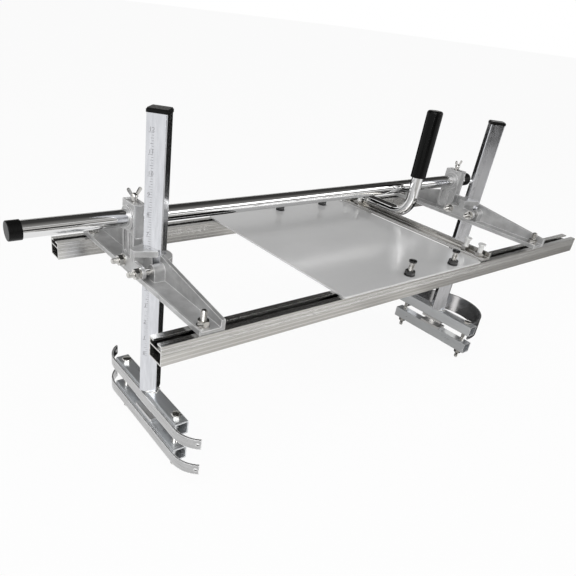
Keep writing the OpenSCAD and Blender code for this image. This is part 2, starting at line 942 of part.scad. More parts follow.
// Nose guard on the far side of the upper tube whose top is at z = 0
module guard() {
    face = clamp_tube / 2;
    inner = guard_radius - guard_thickness;
    tab_bottom = -clamp_tube / 2 - tab_height / 2;
    difference() {
        union() {
            translate([0, 0, -guard_height]) linear_extrude(guard_height) difference() {
                union() {
                    translate([guard_centre, 0]) circle(r = guard_radius, $fn = 96);
                    translate([face, -guard_radius])
                        square([guard_centre - face, 2 * guard_radius]);
                }
                translate([guard_centre, 0]) circle(r = inner, $fn = 96);
                translate([face - 1, -inner]) square([guard_centre - face + 1, 2 * inner]);
                translate([face - 2 * guard_radius, -guard_radius - 1])
                    square([2 * guard_radius, 2 * guard_radius + 2]);
            }
            for (side = [-1, 1]) translate([face, side < 0 ? -guard_radius : guard_radius - tab_length, tab_bottom])
                cube([guard_thickness, tab_length, tab_height]);
        }
        for (y = [-guard_bolt_y, guard_bolt_y]) translate([face - 1, y, -clamp_tube / 2])
            rotate([0, 90, 0]) cylinder(r = guard_bolt_r + hole_gap, h = guard_thickness + 2);
    }
}

module guard_bolts() {
    face = clamp_tube / 2;
    inside = face - clamp_wall - guard_nut_height - 2;
    for (y = [-guard_bolt_y, guard_bolt_y]) translate([0, y, -clamp_tube / 2]) rotate([0, 90, 0]) {
        translate([0, 0, face + guard_thickness]) cup_head(guard_head_r, guard_head_height);
        translate([0, 0, inside]) cylinder(r = guard_bolt_r, h = face + guard_thickness - inside + eps);
    }
}

module guard_nuts() {
    inner_face = clamp_tube / 2 - clamp_wall;
    for (y = [-guard_bolt_y, guard_bolt_y]) translate([inner_face, y, -clamp_tube / 2])
        rotate([0, -90, 0]) difference() {
            cylinder(d = guard_nut_flats / cos(30), h = guard_nut_height, $fn = hexagon);
            translate([0, 0, -1]) cylinder(r = guard_bolt_r + thread_gap, h = guard_nut_height + 2);
        }
}

module at_left_foot() {
    translate([left_x, post_y, left_post_top - post_length]) children();
}

module at_right_foot() {
    translate([right_x, post_y, right_post_top - post_length]) children();
}

module left_post() {
    color("gainsboro") at_left_foot() post();
}

module left_post_cap() {
    color([0.1, 0.1, 0.1]) at_left_foot() post_cap();
}

module left_upper_tube() {
    color("silver") at_left_foot() upper_tube();
}

module left_upper_pad() {
    color("lightgray") at_left_foot() upper_pad();
}

module left_bar_bolts() {
    color("gainsboro") at_left_foot() bar_bolts(left_gap);
}

module left_upper_strap() {
    color([0.62, 0.62, 0.62]) at_left_foot() guide_strap();
}

module left_jaw_tube() {
    color("silver") at_left_foot() jaw_tube(left_gap);
}

module left_jaw_pad() {
    color("lightgray") at_left_foot() jaw_pad(left_gap);
}

module left_jaw_nuts() {
    color("gainsboro") at_left_foot() jaw_nuts(left_gap);
}

module left_jaw_strap() {
    color([0.62, 0.62, 0.62]) at_left_foot() translate([0, 0, -clamp_tube - left_gap]) guide_strap();
}

module right_post() {
    color("gainsboro") at_right_foot() post();
}

module right_post_cap() {
    color([0.1, 0.1, 0.1]) at_right_foot() post_cap();
}

module right_upper_tube() {
    color("silver") difference() {
        at_right_foot() upper_tube();
        at_right_foot() for (y = [-guard_bolt_y, guard_bolt_y])
            translate([0, y, -clamp_tube / 2]) rotate([0, 90, 0]) cylinder(r = guard_bolt_r + hole_gap, h = clamp_tube);
    }
}

module right_upper_pad() {
    color("lightgray") at_right_foot() upper_pad();
}

module right_bar_bolts() {
    color("gainsboro") at_right_foot() bar_bolts(right_gap);
}

module nose_guard() {
    color([0.3, 0.3, 0.32]) at_right_foot() guard();
}

module nose_guard_bolts() {
    color("gainsboro") at_right_foot() guard_bolts();
}

module nose_guard_nuts() {
    color("gainsboro") at_right_foot() guard_nuts();
}

module right_jaw_tube() {
    color("silver") at_right_foot() jaw_tube(right_gap);
}

module right_jaw_pad() {
    color("lightgray") at_right_foot() jaw_pad(right_gap);
}

module right_jaw_nuts() {
    color("gainsboro") at_right_foot() jaw_nuts(right_gap);
}

// Handle tube

module handle_tube() {
    color("silver") translate([handle_x, post_y + tower_y, handle_z]) rotate([0, 90, 0])
        difference() {
            cylinder(r = handle_r, h = handle_length);
            translate([0, 0, -1]) cylinder(r = handle_r - handle_wall, h = handle_length + 2);
        }
}

cap_wall = 1.2;
cap_end = 1.5;

// Sleeve cap: z = 0 at the end of the tube
module handle_cap() {
    rim = handle_r + thread_gap + cap_wall;
    round_r = 1;
    sleeve = handle_cap_length - cap_end;
    rotate_extrude() difference() {
        union() {
            translate([0, -sleeve]) square([rim, handle_cap_length - round_r]);
            square([rim - round_r, cap_end]);
            translate([rim - round_r, cap_end - round_r]) circle(r = round_r);
        }
        translate([-1, -sleeve - 1]) square([handle_r + thread_gap + 1, sleeve + 1]);
        translate([-2 * rim, -sleeve - 1]) square([2 * rim, handle_cap_length + 2]);
    }
}

module handle_caps() {
    color([0.08, 0.08, 0.08]) translate([handle_x, post_y + tower_y, handle_z]) {
        rotate([0, -90, 0]) handle_cap();
        translate([handle_length, 0, 0]) rotate([0, 90, 0]) handle_cap();
    }
}

front_rail();
rear_rail();
deck_plate();
deck_bolts();
deck_nuts();
cross_member();
member_foot_plates();
member_studs();
member_nuts();
thrust_handle();
thrust_grip();
thrust_bolt();
thrust_nut();
left_bracket();
left_post_clamp();
left_clamp_bolts();
left_clamp_nuts();
left_foot_bolts();
left_foot_nuts();
left_wing_screw();
right_bracket();
right_post_clamp();
right_clamp_bolts();
right_clamp_nuts();
right_foot_bolts();
right_foot_nuts();
right_wing_screw();
left_post();
left_post_cap();
left_upper_tube();
left_upper_pad();
left_bar_bolts();
left_upper_strap();
left_jaw_tube();
left_jaw_pad();
left_jaw_nuts();
left_jaw_strap();
right_post();
right_post_cap();
right_upper_tube();
right_upper_pad();
right_bar_bolts();
nose_guard();
nose_guard_bolts();
nose_guard_nuts();
right_jaw_tube();
right_jaw_pad();
right_jaw_nuts();
handle_tube();
handle_caps();
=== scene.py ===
"""Chainsaw mill: finishes, threads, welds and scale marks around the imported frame, in metres."""

import json
import math

import bmesh
import bpy
from mathutils import Matrix, Vector


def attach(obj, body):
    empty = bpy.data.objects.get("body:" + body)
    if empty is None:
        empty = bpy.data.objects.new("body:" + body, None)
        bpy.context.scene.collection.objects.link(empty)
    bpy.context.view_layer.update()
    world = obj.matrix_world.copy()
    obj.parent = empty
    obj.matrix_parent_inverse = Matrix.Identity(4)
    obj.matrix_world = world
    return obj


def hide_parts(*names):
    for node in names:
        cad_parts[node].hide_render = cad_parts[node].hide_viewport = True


MM = 0.001

# Where things stand, in millimetres
LEFT_POST_X = -379.0
RIGHT_POST_X = 331.0
POST_Y = 149.7
POST_HALF = 12.5
LEFT_POST_TOP = 229.5
RIGHT_POST_TOP = 207.5
POST_LENGTH = 389.0
RAIL_TOP = 25.4
RAIL_SPACING = 304.8
RAILS_Y = (0.0, RAIL_SPACING)
SLOT_LIP = 2.4
SLOT_ROOF = RAIL_TOP - SLOT_LIP
BRACKET_Z = 25.6
CLAMP_TUBE = 21.7
LEFT_GAP = 24.0
RIGHT_GAP = 19.5
GUARD_THICKNESS = 3.0
GUARD_CLEARANCE = 0.15

# Threads and square heads, in millimetres
BOLT_R = 4.0
PITCH = 1.25
THREAD_STEPS = 20
THREAD_DEPTH = 0.55
CREST_INSET = 0.05
CREST_START = 0.44
CREST_END = 0.56
CORE_INSET = 0.5
RUN_OUT = 0.6
THREAD_START = 0.1
THREAD_END = 0.5
TIP_LENGTH = 0.9
TIP_CHAMFER = 0.8
T_HEAD_SIDE = 14.2
T_HEAD_HEIGHT = 4.2
T_HEAD_PLAY = 0.2
TIP_BELOW_NUT = 0.4
SLOT_TIP = SLOT_ROOF - T_HEAD_HEIGHT - TIP_BELOW_NUT

# Flat round heads: outline as (radius, depth) in millimetres, rounded above and chamfered below
CAP_R = 6.0
CAP_HEIGHT = 3.2
CAP_OUTLINE = (
    (0, 0),
    (CAP_R - 0.6, 0),
    (CAP_R - 0.15, 0.2),
    (CAP_R, 0.7),
    (CAP_R, CAP_HEIGHT - 0.4),
    (CAP_R - 0.4, CAP_HEIGHT),
    (BOLT_R, CAP_HEIGHT),
)

# Deck, cross member and thrust handle bolts, in millimetres; the thrust bolt's thread starts at
# THRUST_THREAD_Z
DECK_BOLT_X = (-35.0, 72.0)
DECK_BOLT_TOP = RAIL_TOP + 26.6
DECK_BOLT_PLAIN = 4
MEMBER_DECK = 31.6
STUD_X = 142.6
STUD_TOP = MEMBER_DECK + 21.5
STUD_PLAIN = 12
OUTER_STUD_X = 145.1
OUTER_STUD_Y = 28.0
OUTER_STUD_TIP = 17.1
THRUST_X = 165.55
THRUST_NUT_Z = 33.0
THRUST_BOLT_TOP = THRUST_NUT_Z + 13.1
THRUST_THREAD_Z = 33

# Bracket and guard bolts, in millimetres; the foot bolts' threads start at FOOT_THREAD_Z
FOOT_BOLT_X = -18.5
FOOT_BOLT_TOP = BRACKET_Z + 24.5
FOOT_THREAD_Z = 32
CLAMP_BOLT_X = 4
CLAMP_BOLT_Y = 23
CLAMP_BOLT_Z = BRACKET_Z + 16.4
CLAMP_BOLT = {"radius": BOLT_R, "head_r": 6.5, "head_height": 4.2, "length": 54, "plain": 30}
GUARD_BOLT_Y = 62.0
GUARD_BOLT = {"radius": 3.0, "head_r": 5.5, "head_height": 3.0, "length": 12, "plain": 5.5}
DOME_STEPS = 8

# Bar clamp bolts, in millimetres; BAR_BOLT_BEYOND is their length below the jaw
BAR_BOLT_SPACING = 155.0
BAR_BOLT_PLAIN = 26
BAR_BOLT_BEYOND = 21.1
HEX_HEAD_R = 7.5
HEX_HEAD_HEIGHT = 5.3
HEX_HEAD_CHAMFER = 0.7

# Weld beads, in millimetres; BEAD_HEIGHT is a share of the width
BEADS_PER_ROW = 9
BEAD_R = 1.7
BEAD_R_CHANGE = 0.35
BEAD_HEIGHT = 0.75
BEAD_STAND_OFF = 0.3
WELD_INSET = 1.2

# The scale on the posts, in millimetres; marks on full inches, halves, quarters and eighths
INCH = 25.4
EIGHTHS = 8
SCALE_TOP_DROP = 21.1
SCALE_INCHES = 12
SCALE_LIFT = 0.03
MARK_RIGHT = -2.3
MARK_LENGTHS = {8: 6.6, 4: 4.6, 2: 3.6, 1: 2.6}
MARK_WIDTH = 0.5
NUMERAL_HEIGHT = 5.2
NUMERAL_LEFT = -8.6
NUMERAL_RISE = 1.0
TYPE_SIZE = 1.35

# Mesh work
SHARP_ANGLE = math.radians(32)
FLAT_ANGLE = math.radians(0.5)
MERGE_DISTANCE = 1e-6
TURN_STEPS = 32
EASED_SEGMENTS = 2

# Edges eased on the CAD's own shapes, in millimetres
EASED = {
    "front_rail": 0.3,
    "rear_rail": 0.3,
    "deck_plate": 0.5,
    "cross_member": 0.4,
    "member_foot_plates": 0.4,
    "left_bracket": 0.7,
    "right_bracket": 0.7,
    "left_post_clamp": 0.7,
    "right_post_clamp": 0.7,
    "left_upper_strap": 0.4,
    "left_jaw_strap": 0.4,
    "nose_guard": 0.5,
    "left_wing_screw": 0.6,
    "right_wing_screw": 0.6,
    "left_upper_pad": 0.4,
    "left_jaw_pad": 0.4,
    "right_upper_pad": 0.4,
    "right_jaw_pad": 0.4,
}

# Metals: range of colours and of roughness, stretch of the grain along the axes, strength and depth
# (mm) of its relief, how strong the painted highlight on the edges is and how wide (mm), how
# metallic the rest is
METALS = {
    "member_aluminium": {
        "colours": ((0.6, 0.59, 0.57), (0.66, 0.65, 0.63)),
        "roughness": (0.16, 0.24),
        "grain": (250, 4, 250),
        "relief": (0.06, 0.02),
        "wear_and_sheen": 0.9,
        "sheen_width": 1.1,
    },
    "post_steel": {
        "colours": ((0.62, 0.63, 0.66), (0.74, 0.75, 0.78)),
        "roughness": (0.14, 0.22),
        "grain": (250, 250, 30),
        "relief": (0.08, 0.02),
    },
    "clamp_steel": {
        "colours": ((0.56, 0.58, 0.6), (0.66, 0.68, 0.7)),
        "roughness": (0.26, 0.34),
        "grain": (60, 8, 60),
        "relief": (0.08, 0.03),
        "wear_and_sheen": 1.0,
        "sheen_width": 1.6,
        "metallic": 0.8,
    },
    "strap_steel": {
        "colours": ((0.42, 0.42, 0.42), (0.54, 0.54, 0.54)),
        "roughness": (0.24, 0.34),
        "grain": (90, 20, 150),
        "relief": (0.1, 0.03),
        "wear_and_sheen": 1.0,
        "sheen_width": 2.4,
    },
    "guard_steel": {
        "colours": ((0.36, 0.36, 0.37), (0.44, 0.44, 0.45)),
        "roughness": (0.1, 0.16),
        "grain": (20, 20, 60),
        "relief": (0.05, 0.02),
        "wear_and_sheen": 0.6,
        "sheen_width": 0.9,
        "metallic": 0.8,
    },
    "pad_aluminium": {
        "colours": ((0.6, 0.6, 0.6), (0.74, 0.74, 0.74)),
        "roughness": (0.3, 0.4),
        "grain": (600, 10, 600),
        "relief": (0.2, 0.04),
        "wear_and_sheen": 0.7,
        "sheen_width": 0.8,
    },
    "chrome": {
        "colours": ((0.74, 0.74, 0.74), (0.8, 0.8, 0.8)),
        "roughness": (0.04, 0.07),
        "grain": (4, 60, 60),
        "relief": (0.01, 0.01),
    },
    "zinc_plate": {
        "colours": ((0.5, 0.49, 0.47), (0.66, 0.65, 0.63)),
        "roughness": (0.1, 0.18),
        "grain": (120, 120, 120),
        "relief": (0.1, 0.02),
    },
    "bright_plate": {
        "colours": ((0.74, 0.74, 0.73), (0.84, 0.84, 0.83)),
        "roughness": (0.2, 0.28),
        "grain": (120, 120, 120),
        "relief": (0.1, 0.02),
        "metallic": 0.5,
    },
    "dark_plate": {
        "colours": ((0.05, 0.05, 0.05), (0.1, 0.1, 0.1)),
        "roughness": (0.16, 0.24),
        "grain": (120, 120, 120),
        "relief": (0.1, 0.02),
    },
    "weld_steel": {
        "colours": ((0.62, 0.62, 0.6), (0.78, 0.78, 0.76)),
        "roughness": (0.2, 0.3),
        "grain": (500, 500, 500),
        "relief": (0.3, 0.1),
    },
}

# Noise values gather between these two
NOISE_LOW = 0.3
NOISE_HIGH = 0.7

# Painted edge highlight: how far a rounded normal agrees with the real one where it begins and
# where it is full
SHEEN_BEGINS = 0.98
SHEEN_FULL = 0.8
SHEEN_TONE = 0.95
SHEEN_METALLIC = 0.1

# Painted shade in the rails' slots: openness where it is full and where it ends, reach in mm
RECESS_SHADE_FULL = 0.2
RECESS_SHADE_ENDS = 0.75
RECESS_SHADE_REACH = 9.0
RECESS_SHADE_LEAST = 0.05
RECESS_SHADE_COLOUR = (0.02, 0.02, 0.02, 1)

# Painted highlight lines along the rails, in mm of height; a Wave texture has WAVE_RATE / tau bands
# per unit
HIGHLIGHT_LINE_PITCH = 5.5
HIGHLIGHT_LINE_FIRST = 4.5
HIGHLIGHT_LINE_EDGE = 0.8
HIGHLIGHT_LINE_SHARE = 0.5
WAVE_RATE = 20

# Samples of the Bevel and Ambient Occlusion nodes, and the colour sockets of a Mix node
SURFACE_SAMPLES = 6
MIX_FACTOR = 0
MIX_FIRST = 6
MIX_SECOND = 7
MIX_RESULT = 2

# The photograph's camera, in metres and degrees
CAMERA_PLACE = (-0.7075, -0.4446, 0.3419)
CAMERA_HEADING = 39.29
CAMERA_PITCH = -29.66
CAMERA_ROLL = 7.26
CAMERA_LENS = 34.74
CAMERA_SHIFT = (0.0831, 0.0679)
CAMERA_SENSOR = 36
CAMERA_CLIP = 0.01

# Floor and surroundings, in metres; FLOOR_WHITE is the share of white in the floor as seen
FLOOR_Z = -0.2662
FLOOR_REACH = 60.0
FLOOR_COLOUR = (0.86, 0.86, 0.86, 1)
FLOOR_WHITE = 0.93
STUDIO_STRENGTH = 0.45

# Lamps: size in metres, power in watts
LAMPS = {
    "key": {"where": (-1.6, -1.2, 2.2), "target": (0, 0.15, 0), "size": (1.8, 1.8), "power": 42},
    "fill": {"where": (1.7, -1.75, 1.05), "target": (0, 0.15, 0), "size": (1.9, 0.7), "power": 14},
    "strip": {"where": (-1.5, -1.7, 0.7), "target": (0, 0.15, 0.1), "size": (0.1, 1.6), "power": 8},
}

# Cards off camera that only the metal reflects: place and size in metres, tones at both ends, turn
# in degrees, and the card's own axis from one tone to the other where it isn't Y
CARD_Z = FLOOR_Z + 0.004
UPPER_CARD_Z = CARD_Z + 0.003
LEVEL = (0, 0, 0)
UPRIGHT = (90, 0, 0)
SIDEWAYS = (0, 90, 0)
CARD_COLOUR = (1, 0.98, 0.95, 1)
CARDS = {
    "card_far_floor": ((2.2, 2.15, CARD_Z), (5.0, 4.0), (0.012, 0.012), LEVEL),
    "card_under": ((0.9, -0.09, CARD_Z), (2.2, 0.42), (0.01, 0.01), LEVEL),
    "card_right_floor": ((1.35, -0.53, CARD_Z), (2.1, 0.46), (0.55, 0.1), LEVEL, "X"),
    "card_near_floor": ((-0.55, -1.35, CARD_Z), (1.5, 1.5), (0.6, 0.48), LEVEL),
    "card_near": ((-0.6, -1.6, 0.055), (1.6, 0.42), (0.01, 0.01), UPRIGHT),
    "card_far_low": ((3.1, 4.2, 0.65), (7.8, 1.8), (0.5, 0.35), UPRIGHT),
    "card_far_left": ((-4.2, 3.2, 1.6), (5.5, 3.0), (0.01, 0.01), UPRIGHT),
    "card_over_far": ((3.1, 2.2, 1.8), (7.8, 4.0), (0.05, 0.03), LEVEL),
    "card_over_near": ((3.1, -0.9, 1.8), (7.8, 2.2), (0.35, 0.05), LEVEL),
    "card_near_mid": ((3.1, -2.45, 1.2), (7.8, 1.2), (0.7, 0.2), UPRIGHT),
    "card_near_low": ((3.1, -2.4, 0.3), (7.8, 0.6), (0.2, 0.2), UPRIGHT),
    "card_beside_clamp": ((0.2, 0.1, -0.18), (0.16, 0.6), (0.62, 0.62), SIDEWAYS),
    "card_before_jaw": ((0.255, 0.1, UPPER_CARD_Z), (0.12, 0.6), (0.42, 0.42), LEVEL),
    "card_in_guard": ((0.365, 0.12, -0.215), (0.09, 0.03), (1.0, 1.0), SIDEWAYS),
    "card_in_guard_far": ((0.365, 0.172, -0.215), (0.09, 0.007), (2.0, 2.0), SIDEWAYS),
    "card_left_floor": ((0.0, -0.45, CARD_Z), (0.6, 0.28), (0.8, 0.74), LEVEL),
}


# Materials


def shader(name):
    """A new material; gives it with its nodes, links and main shader."""
    material = bpy.data.materials.new(name)
    material.use_nodes = True
    nodes = material.node_tree.nodes
    return material, nodes, material.node_tree.links, nodes["Principled BSDF"]


def pattern_place(nodes, links, scale=(1, 1, 1)):
    """Object coordinates, stretched along the axes by scale."""
    seat = nodes.new("ShaderNodeTexCoord")
    mapping = nodes.new("ShaderNodeMapping")
    mapping.inputs["Scale"].default_value = scale
    links.new(seat.outputs["Object"], mapping.inputs["Vector"])
    return mapping.outputs["Vector"]


def noise(nodes, links, vector, scale=1.0, detail=4.0, rough=0.6):
    """A noise value from 0 to 1, mostly between NOISE_LOW and NOISE_HIGH."""
    texture = nodes.new("ShaderNodeTexNoise")
    texture.inputs["Scale"].default_value = scale
    texture.inputs["Detail"].default_value = detail
    texture.inputs["Roughness"].default_value = rough
    links.new(vector, texture.inputs["Vector"])
    return texture.outputs["Fac"]


def ramp(nodes, links, factor, low, high):
    """Colours a noise value from low to high."""
    blend = nodes.new("ShaderNodeValToRGB")
    blend.color_ramp.elements[0].position = NOISE_LOW
    blend.color_ramp.elements[1].position = NOISE_HIGH
    blend.color_ramp.elements[0].color = (*low, 1)
    blend.color_ramp.elements[1].color = (*high, 1)
    links.new(factor, blend.inputs["Fac"])
    return blend.outputs["Color"]


def mapped(nodes, links, value, source, target):
    """Maps a value from the range source to the range target."""
    scale = nodes.new("ShaderNodeMapRange")
    scale.inputs["From Min"].default_value = source[0]
    scale.inputs["From Max"].default_value = source[1]
    scale.inputs["To Min"].default_value = target[0]
    scale.inputs["To Max"].default_value = target[1]
    links.new(value, scale.inputs["Value"])
    return scale.outputs["Result"]


def rough_between(nodes, links, surface, factor, low, high):
    """Lets a noise value set the roughness between low and high."""
    roughness = mapped(nodes, links, factor, (NOISE_LOW, NOISE_HIGH), (low, high))
    links.new(roughness, surface.inputs["Roughness"])


def bump(nodes, links, surface, height, strength, depth):
    """Relief from a noise value; depth in millimetres."""
    relief = nodes.new("ShaderNodeBump")
    relief.inputs["Strength"].default_value = strength
    relief.inputs["Distance"].default_value = depth * MM
    links.new(height, relief.inputs["Height"])
    links.new(relief.outputs["Normal"], surface.inputs["Normal"])


def painted_edge_sheen(nodes, links, width, amount):
    """Goes from 0 on open faces to amount on edges, where a bright highlight is painted."""
    rounded = nodes.new("ShaderNodeBevel")
    rounded.samples = SURFACE_SAMPLES
    rounded.inputs["Radius"].default_value = width * MM
    shape = nodes.new("ShaderNodeNewGeometry")
    along = nodes.new("ShaderNodeVectorMath")
    along.operation = "DOT_PRODUCT"
    links.new(rounded.outputs["Normal"], along.inputs[0])
    links.new(shape.outputs["Normal"], along.inputs[1])
    return mapped(nodes, links, along.outputs["Value"], (SHEEN_BEGINS, SHEEN_FULL), (0.0, amount))


def metallic_under_sheen(nodes, links, surface, wear_and_sheen, metallic):
    """Lets the metallic value fall on the edges with the painted highlight, which then scatter
    light evenly.
    """
    value = mapped(nodes, links, wear_and_sheen, (0.0, 1.0), (metallic, SHEEN_METALLIC))
    links.new(value, surface.inputs["Metallic"])


def painted_recess_shade(nodes, links, colour):
    """Colour that darkens in narrow recesses: painted shade."""
    recess = nodes.new("ShaderNodeAmbientOcclusion")
    recess.samples = SURFACE_SAMPLES
    recess.inputs["Distance"].default_value = RECESS_SHADE_REACH * MM
    unshaded = mapped(nodes, links, recess.outputs["AO"], (RECESS_SHADE_FULL, RECESS_SHADE_ENDS), (RECESS_SHADE_LEAST, 1.0))
    shaded = nodes.new("ShaderNodeMix")
    shaded.data_type = "RGBA"
    links.new(unshaded, shaded.inputs[MIX_FACTOR])
    shaded.inputs[MIX_FIRST].default_value = RECESS_SHADE_COLOUR
    links.new(colour, shaded.inputs[MIX_SECOND])
    return shaded.outputs[MIX_RESULT]


def brightened(nodes, links, colour, factor, tone=SHEEN_TONE):
    """Colour that turns to a bright grey tone by factor."""
    blend = nodes.new("ShaderNodeMix")
    blend.data_type = "RGBA"
    links.new(factor, blend.inputs[MIX_FACTOR])
    links.new(colour, blend.inputs[MIX_FIRST])
    blend.inputs[MIX_SECOND].default_value = (tone, tone, tone, 1)
    return blend.outputs[MIX_RESULT]


def metal(name, colours, roughness, grain, relief, wear_and_sheen=0.0, sheen_width=1.0, metallic=1.0):
    """Bare or plated metal, as the table METALS describes it."""
    material, nodes, links, surface = shader(name)
    lines = noise(nodes, links, pattern_place(nodes, links, grain))
    surface.inputs["Metallic"].default_value = metallic
    colour = ramp(nodes, links, lines, *colours)
    # Edges get a painted highlight: a bright grey colour that is less metallic
    if wear_and_sheen:
        edge_sheen = painted_edge_sheen(nodes, links, sheen_width, wear_and_sheen)
        colour = brightened(nodes, links, colour, edge_sheen)
        metallic_under_sheen(nodes, links, surface, edge_sheen, metallic)
    links.new(colour, surface.inputs["Base Color"])
    rough_between(nodes, links, surface, lines, *roughness)
    bump(nodes, links, surface, lines, *relief)
    return material


def painted_highlight_lines(nodes, links, colour):
    """Colour with fine painted highlight lines along X."""
    bands = nodes.new("ShaderNodeTexWave")
    bands.bands_direction = "Z"
    bands.inputs["Scale"].default_value = math.tau / (WAVE_RATE * HIGHLIGHT_LINE_PITCH * MM)
    first = math.pi - math.tau * HIGHLIGHT_LINE_FIRST / HIGHLIGHT_LINE_PITCH
    bands.inputs["Phase Offset"].default_value = first
    seat = nodes.new("ShaderNodeTexCoord")
    links.new(seat.outputs["Object"], bands.inputs["Vector"])
    line = mapped(nodes, links, bands.outputs["Fac"], (HIGHLIGHT_LINE_EDGE, 1.0), (0.0, HIGHLIGHT_LINE_SHARE))
    return brightened(nodes, links, colour, line)


def rail_aluminium():
    """Extruded aluminium: painted highlight lines along it, and painted shade in the slots."""
    material, nodes, links, surface = shader("rail_aluminium")
    lines = noise(nodes, links, pattern_place(nodes, links, scale=(4, 250, 250)))
    colour = ramp(nodes, links, lines, low=(0.62, 0.615, 0.595), high=(0.7, 0.695, 0.675))
    # Painted shade darkens the slots; painted highlight lines run along the faces
    colour = painted_recess_shade(nodes, links, painted_highlight_lines(nodes, links, colour))
    # Painted highlight on the edges
    wear_and_sheen = painted_edge_sheen(nodes, links, width=0.5, amount=0.9)
    links.new(brightened(nodes, links, colour, wear_and_sheen), surface.inputs["Base Color"])
    metallic_under_sheen(nodes, links, surface, wear_and_sheen, metallic=1.0)
    rough_between(nodes, links, surface, lines, low=0.16, high=0.24)
    bump(nodes, links, surface, lines, strength=0.06, depth=0.02)
    return material


def casting_aluminium():
    """Sand-cast aluminium: fine grain, a slow change of tone and a painted highlight on the edges.
    """
    material, nodes, links, surface = shader("casting_aluminium")
    vector = pattern_place(nodes, links)
    grain = noise(nodes, links, vector, scale=700, detail=3, rough=0.7)
    patches = noise(nodes, links, vector, scale=40, detail=4, rough=0.6)
    # Painted highlight on the edges
    wear_and_sheen = painted_edge_sheen(nodes, links, width=1.5, amount=1.0)
    metallic_under_sheen(nodes, links, surface, wear_and_sheen, metallic=0.6)
    colour = ramp(nodes, links, patches, low=(0.39, 0.39, 0.39), high=(0.59, 0.59, 0.59))
    links.new(brightened(nodes, links, colour, wear_and_sheen, tone=1.0), surface.inputs["Base Color"])
    rough_between(nodes, links, surface, grain, low=0.32, high=0.5)
    bump(nodes, links, surface, grain, strength=0.6, depth=0.25)
    return material


def deck_steel():
    """Matt sheet with a soft gloss and a painted highlight on its edges."""
    material, nodes, links, surface = shader("deck_steel")
    slow = noise(nodes, links, pattern_place(nodes, links, scale=(4, 9, 9)))
    surface.inputs["Metallic"].default_value = 0.25
    colour = ramp(nodes, links, slow, low=(0.67, 0.67, 0.67), high=(0.72, 0.72, 0.72))
    # Painted highlight on the edges
    wear_and_sheen = painted_edge_sheen(nodes, links, width=0.9, amount=0.8)
    links.new(brightened(nodes, links, colour, wear_and_sheen), surface.inputs["Base Color"])
    rough_between(nodes, links, surface, slow, low=0.16, high=0.22)
    bump(nodes, links, surface, slow, strength=0.05, depth=0.02)
    return material


def moulded(name, tone, roughness, grain, depth):
    """Black moulded plastic or rubber with a fine grain; depth of the grain in millimetres."""
    material, nodes, links, surface = shader(name)
    pits = noise(nodes, links, pattern_place(nodes, links), scale=grain, detail=3)
    dark = tone * 0.7
    colour = ramp(nodes, links, pits, low=(dark, dark, dark), high=(tone, tone, tone))
    links.new(colour, surface.inputs["Base Color"])
    rough_between(nodes, links, surface, pits, low=roughness * 0.8, high=roughness * 1.2)
    surface.inputs["Specular IOR Level"].default_value = 0.12
    bump(nodes, links, surface, pits, strength=0.3, depth=depth)
    return material


def scale_ink():
    """Dark grey print, a little uneven."""
    material, nodes, links, surface = shader("scale_ink")
    wear_and_sheen = noise(nodes, links, pattern_place(nodes, links), scale=800, detail=3)
    colour = ramp(nodes, links, wear_and_sheen, low=(0.16, 0.16, 0.17), high=(0.3, 0.3, 0.31))
    links.new(colour, surface.inputs["Base Color"])
    surface.inputs["Roughness"].default_value = 0.55
    return material


def finishes():
    """The finish of each material slot, and those that only single pieces have."""
    metals = {name: metal(name, **looks) for name, looks in METALS.items()}
    return {
        **metals,
        "zinc_fasteners": metals["zinc_plate"],
        "rail_aluminium": rail_aluminium(),
        "casting": casting_aluminium(),
        "deck_steel": deck_steel(),
        "black_plastic": moulded("black_plastic", 0.006, roughness=0.3, grain=700, depth=0.04),
        "black_rubber": moulded("black_rubber", 0.004, roughness=0.18, grain=300, depth=0.02),
        "scale_ink": scale_ink(),
    }


# Shapes


def mesh_of(bm, name):
    """The mesh that a bmesh makes; frees the bmesh."""
    mesh = bpy.data.meshes.new(name)
    bm.to_mesh(mesh)
    bm.free()
    return mesh


def add_object(name, data):
    """A new object in the scene."""
    thing = bpy.data.objects.new(name, data)
    bpy.context.scene.collection.objects.link(thing)
    return thing


def new_piece(name, bm, material, body):
    """Makes the finished bmesh a piece that moves with body."""
    mesh = mesh_of(bm, name)
    mesh.shade_smooth()
    mesh.set_sharp_from_angle(angle=SHARP_ANGLE)
    mesh.materials.append(material)
    piece = add_object(name, mesh)
    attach(piece, body)
    return piece


def eased_copy(node, material, body, width):
    """A copy of a CAD node with its sharp edges eased, in the node's place."""
    bm = bmesh.new()
    bm.from_mesh(frame["nodes"][node].data)
    bmesh.ops.remove_doubles(bm, verts=bm.verts, dist=MERGE_DISTANCE)
    bmesh.ops.dissolve_limit(bm, angle_limit=FLAT_ANGLE, verts=bm.verts, edges=bm.edges)
    if node == "nose_guard":
        bmesh.ops.translate(bm, vec=(GUARD_CLEARANCE * MM, 0, 0), verts=bm.verts)
    piece = new_piece(node + "_eased", bm, material, body)
    bevel = piece.modifiers.new("eased edges", "BEVEL")
    bevel.width = width * MM
    bevel.segments = EASED_SEGMENTS
    bevel.limit_method = "ANGLE"
    bevel.angle_limit = SHARP_ANGLE
    bevel.harden_normals = True
    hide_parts(node)


def spun(bm, outline, steps, rise=0.0, closed=True):
    """Spins an outline of (radius, z) once round Z; rise per step, all in millimetres."""
    corners = [bm.verts.new((r * MM, 0, z * MM)) for r, z in outline]
    edges = [bm.edges.new(pair) for pair in zip(corners, corners[1:])]
    bmesh.ops.spin(
        bm,
        geom=corners + edges,
        cent=(0, 0, 0),
        axis=(0, 0, 1),
        dvec=(0, 0, rise * MM),
        angle=2 * math.pi,
        steps=steps,
        use_merge=closed,
        use_normal_flip=False,
        use_duplicate=False,
    )


